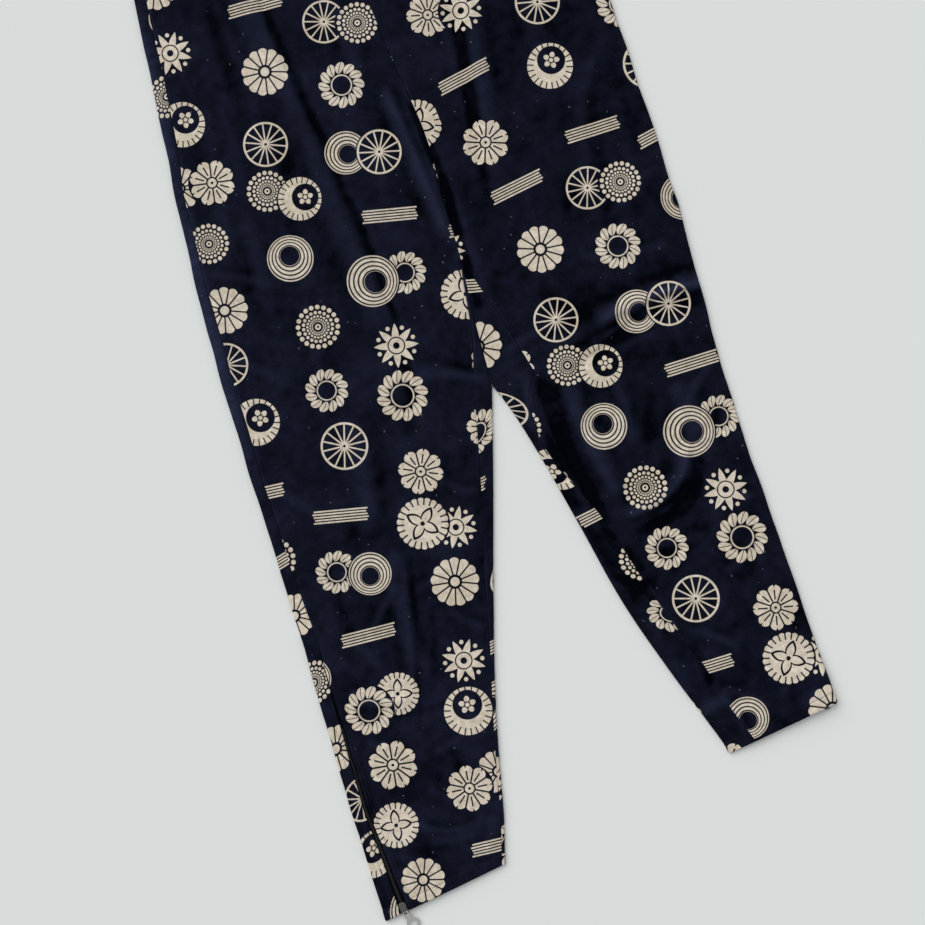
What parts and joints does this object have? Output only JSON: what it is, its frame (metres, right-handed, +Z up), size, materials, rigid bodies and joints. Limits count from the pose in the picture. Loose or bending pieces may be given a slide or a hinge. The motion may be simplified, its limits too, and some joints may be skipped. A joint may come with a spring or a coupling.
{
  "type": "ankle-zip trousers laid flat",
  "caption": "Loose tapered pull-on trousers lying flat on their back, in dark printed cloth, with a closed zip and a ring-ended pull tab at each ankle.",
  "frame": {"origin": "middle of the laid-out garment, on the surface that it lies on", "axes": "+Y up the body to the waist, +X to the right as seen from above, +Z up from the surface"},
  "size_m": [0.544, 1.088, 0.0104],
  "materials": {
    "printed_cloth": "soft matt plain-weave cloth, dark navy with a cream print",
    "band_cloth": "the same cloth, doubled, with the print",
    "zip_chain": "black coil chain on black tape",
    "slider_metal": "dull nickel plate",
    "tab_metal": "bright nickel plate"
  },
  "bodies": {
    "trousers": {"front_left": "printed_cloth", "front_right": "printed_cloth", "back_left": "printed_cloth", "back_right": "printed_cloth", "waistband": "band_cloth", "zip_left": "zip_chain", "zip_right": "zip_chain", "slider_left": "slider_metal", "slider_right": "slider_metal"},
    "left_tab": {"pull_left": "tab_metal"},
    "right_tab": {"pull_right": "tab_metal"}
  },
  "joints": [
    {"name": "left_tab_hinge", "type": "hinge", "parent": "trousers", "child": "left_tab", "pos_m": [-0.2393, -0.5221, 0.0067], "axis": [-0.9397, -0.342, 0], "range_deg": [0, 165]},
    {"name": "right_tab_hinge", "type": "hinge", "parent": "trousers", "child": "right_tab", "pos_m": [0.259, -0.4352, 0.0019], "axis": [-0.9999, -0.0114, 0], "range_deg": [0, 160]}
  ]
}
